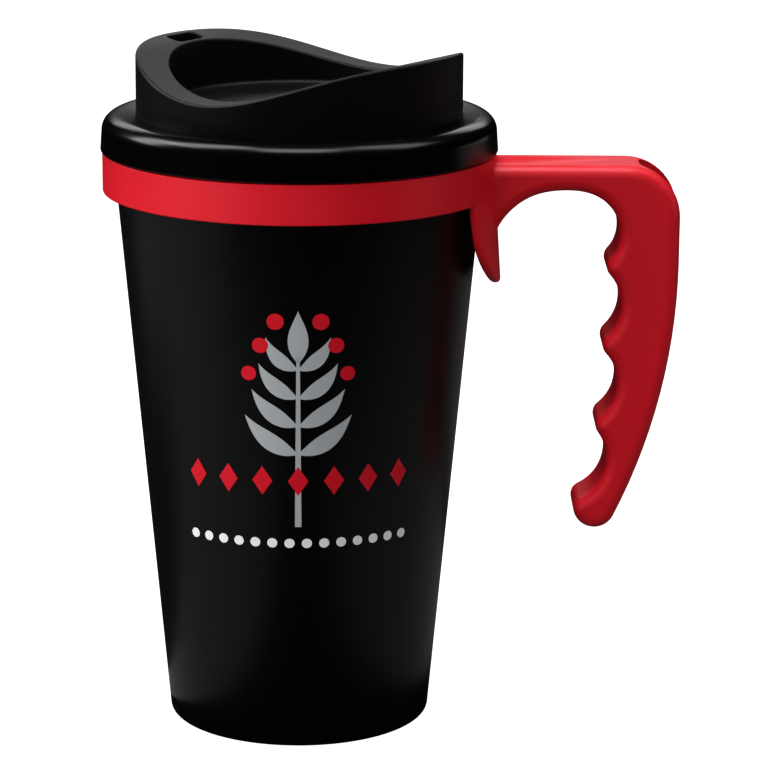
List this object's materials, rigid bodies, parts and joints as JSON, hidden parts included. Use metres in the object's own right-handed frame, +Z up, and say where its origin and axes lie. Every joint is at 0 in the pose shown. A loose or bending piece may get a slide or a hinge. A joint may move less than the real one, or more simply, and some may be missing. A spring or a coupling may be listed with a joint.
{
  "type": "insulated travel mug",
  "caption": "Double-walled tapered travel mug with a clamped-on finger-grip handle, a screw lid and a turning saddle-shaped drink dome.",
  "frame": {"origin": "centre of the base, on the plane the mug stands on, on the axis of the cup", "axes": "+Z up along the axis of the cup, +X out along the handle"},
  "size_m": [0.1311, 0.09, 0.156],
  "materials": {
    "outer_shell": "satin",
    "inner_liner": "satin",
    "liner_seal": "matte",
    "handle_collar": "satin",
    "lid_ring": "satin",
    "lid_gasket": "matte",
    "drink_dome": "fine grain, matte",
    "dome_seal": "matte"
  },
  "bodies": {
    "vessel": {"outer_shell": "outer_shell", "inner_liner": "inner_liner", "liner_seal": "liner_seal", "handle_collar": "handle_collar"},
    "gasket": {"lid_gasket": "lid_gasket"},
    "lid": {"lid_ring": "lid_ring"},
    "dome": {"drink_dome": "drink_dome", "dome_seal": "dome_seal"}
  },
  "joints": [
    {"name": "lid_rise", "type": "slide", "parent": "vessel", "child": "gasket", "axis": [0, 0, 1], "range_m": [0, 0.00963]},
    {"name": "lid_twist", "type": "hinge", "parent": "gasket", "child": "lid", "pos_m": [0, 0, 0.135], "axis": [0, 0, 1], "range_deg": [0, 330]},
    {"name": "dome_turn", "type": "hinge", "parent": "lid", "child": "dome", "pos_m": [0, 0, 0.14], "axis": [0, 0, 1], "range_deg": [0, 75]}
  ],
  "couplings": [
    {"joint": "lid_rise", "follows": "lid_twist", "m_per_rad": 0.0016711}
  ]
}
